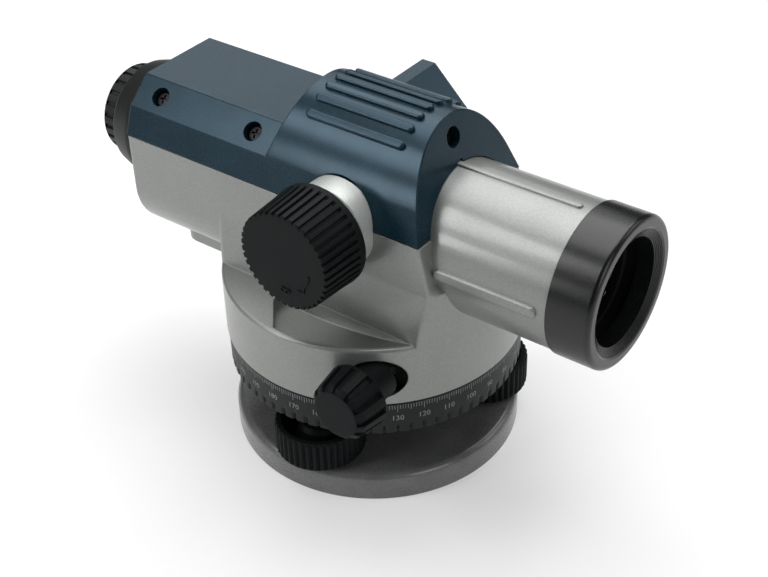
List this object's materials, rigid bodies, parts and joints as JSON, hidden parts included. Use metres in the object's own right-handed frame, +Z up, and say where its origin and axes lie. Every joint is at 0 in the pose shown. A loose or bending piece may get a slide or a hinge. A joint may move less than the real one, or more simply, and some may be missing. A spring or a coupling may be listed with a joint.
{
  "type": "automatic level",
  "caption": "Surveyor's automatic level: telescope with focusing and fine-drive knobs over a graduated circle and a three-screw levelling base.",
  "frame": {"origin": "on the vertical axis, at the mouth of the tripod thread in the base plate's underside", "axes": "+X along the line of sight towards the objective, +Y to the observer's left, +Z up the vertical axis"},
  "size_m": [0.2254, 0.1352, 0.1439],
  "materials": {
    "base_enamel": "smooth grey gloss enamel over an aluminium casting",
    "housing_paint": "silver metallic lacquer over an aluminium casting",
    "boss_anodised": "bead-blasted, clear anodised",
    "cover_paint": "slate-blue satin moulding",
    "black_anodised": "black satin anodised",
    "knob_black": "black fine-grained moulding",
    "circle_enamel": "black with white engraved figures",
    "steel_turned": "bright turned",
    "spring_steel": "blued spring steel",
    "screw_black": "blackened",
    "brass_turned": "turned",
    "inner_black": "dull black, anti-reflection",
    "lens_glass": "polished, coated",
    "vial_glass": "clear moulding",
    "vial_fluid": "pale green spirit",
    "mirror_face": "silvered",
    "gasket_rubber": "thin black sheet",
    "level_case_black": "black moulding"
  },
  "bodies": {
    "base": {"base_plate": "base_enamel", "spring_plate": "spring_steel", "spring_plate_screws": "steel_turned"},
    "foot_1": {"foot_screw_1": "steel_turned", "foot_knob_1": "knob_black"},
    "foot_2": {"foot_screw_2": "steel_turned", "foot_knob_2": "knob_black"},
    "foot_3": {"foot_screw_3": "steel_turned", "foot_knob_3": "knob_black"},
    "head": {"levelling_head": "black_anodised", "foot_screw_bushes": "brass_turned", "axis_sleeve": "steel_turned", "clutch_spring": "spring_steel", "clutch_nut": "steel_turned"},
    "circle": {"graduated_circle": "circle_enamel"},
    "wheel": {"worm_wheel": "brass_turned"},
    "housing": {"vertical_spindle": "steel_turned", "spindle_retainer": "steel_turned", "worm_bearings": "brass_turned", "main_housing": "housing_paint", "cover_gasket": "gasket_rubber", "top_cover": "cover_paint", "cover_screws": "screw_black", "viewing_mirror": "mirror_face", "level_bracket": "housing_paint", "level_screws": "steel_turned", "level_case": "level_case_black", "level_vial": "vial_glass", "level_liquid": "vial_fluid", "objective_cell": "inner_black", "objective_flint": "lens_glass", "objective_crown": "lens_glass", "objective_retainer": "inner_black", "objective_ring": "black_anodised", "focus_guide": "inner_black", "focus_bearing": "boss_anodised", "compensator_frame": "inner_black", "fixed_prisms": "lens_glass", "suspension_wires": "spring_steel", "damper_magnet": "steel_turned", "reticle_mount": "inner_black", "reticle_ring": "brass_turned", "reticle_glass": "lens_glass", "eyepiece_tube": "black_anodised", "eyepiece_cover": "knob_black"},
    "drive": {"worm_shaft": "steel_turned", "drive_knob_right": "knob_black", "drive_knob_left": "knob_black"},
    "focus_control": {"focus_knob": "knob_black", "focus_shaft": "steel_turned"},
    "focus_slide": {"focus_cell": "inner_black", "focus_lens": "lens_glass", "focus_rack": "brass_turned"},
    "pendulum": {"pendulum": "inner_black", "pendulum_prism": "lens_glass"},
    "dioptre": {"dioptre_ring": "knob_black"},
    "ocular": {"ocular_cell": "inner_black", "ocular_lenses": "lens_glass"}
  },
  "joints": [
    {"name": "foot_screw_1_turn", "type": "hinge", "parent": "base", "child": "foot_1", "pos_m": [0.0047, -0.04194, 0.0084], "axis": [0, 0, 1], "range_deg": [-478, 478]},
    {"name": "foot_screw_2_turn", "type": "hinge", "parent": "base", "child": "foot_2", "pos_m": [0.03397, 0.02504, 0.0084], "axis": [0, 0, 1], "range_deg": [-720, 720]},
    {"name": "foot_screw_3_turn", "type": "hinge", "parent": "base", "child": "foot_3", "pos_m": [-0.03867, 0.0169, 0.0084], "axis": [0, 0, 1], "range_deg": [-720, 720]},
    {"name": "head_tilt", "type": "hinge", "parent": "base", "child": "head", "pos_m": [-0.00235, 0.02097, 0.0084], "axis": [0.9938, 0.1115, 0], "range_deg": [-1.2, 1.2]},
    {"name": "circle_set", "type": "hinge", "parent": "head", "child": "circle", "pos_m": [0, 0, 0.042], "axis": [0, 0, 1], "continuous": true},
    {"name": "coarse_turn", "type": "hinge", "parent": "head", "child": "wheel", "pos_m": [0, 0, 0.0585], "axis": [0, 0, 1], "continuous": true},
    {"name": "fine_turn", "type": "hinge", "parent": "wheel", "child": "housing", "pos_m": [0, 0, 0.0585], "axis": [0, 0, 1], "continuous": true},
    {"name": "drive_turn", "type": "hinge", "parent": "housing", "child": "drive", "pos_m": [0.0342, 0, 0.0585], "axis": [0, 1, 0], "continuous": true},
    {"name": "focus_turn", "type": "hinge", "parent": "housing", "child": "focus_control", "pos_m": [0.0086, 0, 0.1069], "axis": [0, 1, 0], "range_deg": [-180, 180]},
    {"name": "focus_travel", "type": "slide", "parent": "housing", "child": "focus_slide", "axis": [1, 0, 0], "range_m": [-0.00786, 0.00786]},
    {"name": "pendulum_swing", "type": "hinge", "parent": "housing", "child": "pendulum", "pos_m": [-0.041, 0, 0.106], "axis": [0, 1, 0], "range_deg": [-0.6, 0.6]},
    {"name": "dioptre_turn", "type": "hinge", "parent": "housing", "child": "dioptre", "pos_m": [-0.115, 0, 0.0985], "axis": [1, 0, 0], "range_deg": [-150, 150]},
    {"name": "ocular_travel", "type": "slide", "parent": "housing", "child": "ocular", "axis": [1, 0, 0], "range_m": [-0.0015, 0.0015]}
  ],
  "couplings": [
    {"joint": "head_tilt", "follows": "foot_screw_1_turn", "ratio": 0.0025143},
    {"joint": "drive_turn", "follows": "fine_turn", "ratio": 72},
    {"joint": "focus_travel", "follows": "focus_turn", "m_per_rad": -0.0025},
    {"joint": "ocular_travel", "follows": "dioptre_turn", "m_per_rad": 0.000572}
  ]
}
